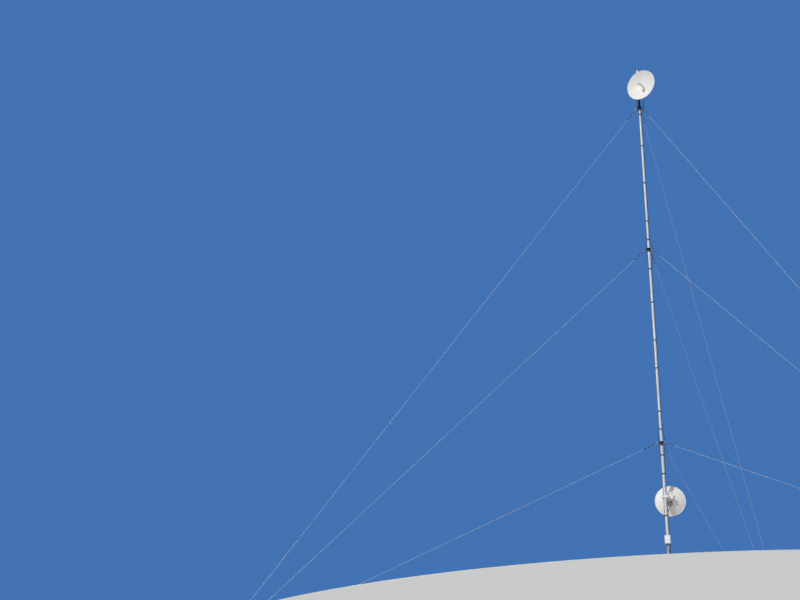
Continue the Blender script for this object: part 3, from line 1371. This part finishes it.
def make_world():
    world = bpy.data.worlds.new("studio")
    bpy.context.scene.world = world
    world.use_nodes = True
    nodes = Nodes(world.node_tree)
    nodes.tree.nodes.clear()
    seen = nodes.node("ShaderNodeLightPath", output="Is Camera Ray")
    glossy, clear = seen.beside("Is Glossy Ray"), seen.beside("Is Transmission Ray")
    shown = 1 - (1 - seen) * (1 - glossy) * (1 - clear)
    soft = nodes.node("ShaderNodeBackground", inputs={"Color": (1, 1, 1, 1), "Strength": 0.4})
    backdrop = nodes.node("ShaderNodeBackground", inputs={"Color": tint("sky"), "Strength": 1.0})
    blend = nodes.node("ShaderNodeMixShader", inputs={0: shown, 1: soft, 2: backdrop})
    nodes.node("ShaderNodeOutputWorld", inputs={"Surface": blend})


def set_up(name, data, place):
    """An object of the stage at a place."""
    made = bpy.data.objects.new(name, data)
    made.matrix_world = place
    bpy.context.scene.collection.objects.link(made)
    return made


def make_lamp(name, way, strength, spread):
    """A broad sun-like lamp that shines from a way."""
    light = bpy.data.lights.new(name, "SUN")
    light.energy = strength
    light.angle = spread
    set_up(name, light, aim((0, 0, LAMP_HEIGHT), way))


def make_camera():
    data = bpy.data.cameras.new("camera")
    data.lens = CAMERA_LENS
    data.sensor_width = CAMERA_SENSOR
    data.clip_end = CAMERA_CLIP
    level = heading_way(-CAMERA_HEADING)
    ahead = heading_way(pi / 2 - CAMERA_HEADING) * cos(CAMERA_PITCH) + UP * sin(CAMERA_PITCH)
    upward = level.cross(ahead)
    right = level * cos(CAMERA_ROLL) - upward * sin(CAMERA_ROLL)
    upward = upward * cos(CAMERA_ROLL) + level * sin(CAMERA_ROLL)
    turned = Matrix((right, upward, -ahead)).transposed().to_4x4()
    bpy.context.scene.camera = set_up("camera", data, at(*CAMERA_POINT) @ turned)


# Operators
class MAST_OT_tubes(bpy.types.Operator):
    """Make the telescoping tubes and their cap"""

    bl_idname = "mast.tubes"
    bl_label = "Tubes and cap"

    def execute(self, context):
        make_tubes()
        make_cap()
        return {"FINISHED"}


class MAST_OT_rings(bpy.types.Operator):
    """Make the fasteners and welds of the guy rings and clamps"""

    bl_idname = "mast.rings"
    bl_label = "Ring and clamp fittings"

    def execute(self, context):
        make_ring_fittings()
        return {"FINISHED"}


class MAST_OT_guys(bpy.types.Operator):
    """Make the guy wires with their thimbles, clips and turnbuckles"""

    bl_idname = "mast.guys"
    bl_label = "Guy wires"

    def execute(self, context):
        make_guys()
        return {"FINISHED"}


class MAST_OT_anchors(bpy.types.Operator):
    """Make the bolts and welds of the anchors and the base plate"""

    bl_idname = "mast.anchors"
    bl_label = "Anchor fittings"

    def execute(self, context):
        make_ground_fittings()
        return {"FINISHED"}


class MAST_OT_dishes(bpy.types.Operator):
    """Make the dishes with their feeds, radio units and fasteners"""

    bl_idname = "mast.dishes"
    bl_label = "Dishes"

    def execute(self, context):
        make_dishes()
        return {"FINISHED"}


class MAST_OT_box(bpy.types.Operator):
    """Make the equipment box and its U-bolts"""

    bl_idname = "mast.box"
    bl_label = "Equipment box"

    def execute(self, context):
        make_box()
        return {"FINISHED"}


class MAST_OT_cables(bpy.types.Operator):
    """Make the cables, their tape and their glands"""

    bl_idname = "mast.cables"
    bl_label = "Cables"

    def execute(self, context):
        make_cables()
        make_jumpers()
        make_earth_lug()
        make_tapes()
        make_glands()
        return {"FINISHED"}


class MAST_OT_finishes(bpy.types.Operator):
    """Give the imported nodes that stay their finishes"""

    bl_idname = "mast.finishes"
    bl_label = "Node finishes"

    def execute(self, context):
        dress_nodes()
        return {"FINISHED"}


class MAST_OT_stage(bpy.types.Operator):
    """Make the floor, the backdrop, the lamps and the camera"""

    bl_idname = "mast.stage"
    bl_label = "Stage"

    def execute(self, context):
        make_floor()
        make_world()
        make_lamp("key_lamp", *KEY_LAMP)
        make_lamp("fill_lamp", *FILL_LAMP)
        make_camera()
        context.scene.view_settings.view_transform = "Standard"
        return {"FINISHED"}


class MAST_PT_panel(bpy.types.Panel):
    """Lists the operators and the sizes of the mast"""

    bl_idname = "MAST_PT_panel"
    bl_label = "Radio mast"
    bl_space_type = "VIEW_3D"
    bl_region_type = "UI"
    bl_category = "Radio mast"

    def draw(self, context):
        for operator in OPERATORS:
            self.layout.operator(operator.bl_idname)
        for group, kind in GROUPS.items():
            box = self.layout.box()
            box.label(text=group.replace("_", " ").capitalize())
            for name in kind.__annotations__:
                box.prop(getattr(context.scene, group), name)


OPERATORS = (
    MAST_OT_tubes, MAST_OT_rings, MAST_OT_guys, MAST_OT_anchors, MAST_OT_dishes, MAST_OT_box, MAST_OT_cables,
    MAST_OT_finishes, MAST_OT_stage,
)
CLASSES = (*GROUPS.values(), *OPERATORS, MAST_PT_panel)


def register():
    for kind in CLASSES:
        bpy.utils.register_class(kind)
    for name, kind in GROUPS.items():
        setattr(bpy.types.Scene, name, bpy.props.PointerProperty(type=kind))


def unregister():
    for name in GROUPS:
        delattr(bpy.types.Scene, name)
    for kind in reversed(CLASSES):
        bpy.utils.unregister_class(kind)


def main():
    register()
    bpy.ops.mast.tubes()
    bpy.ops.mast.rings()
    bpy.ops.mast.guys()
    bpy.ops.mast.anchors()
    bpy.ops.mast.dishes()
    bpy.ops.mast.box()
    bpy.ops.mast.cables()
    bpy.ops.mast.finishes()
    bpy.ops.mast.stage()


if __name__ == "__main__":
    main()
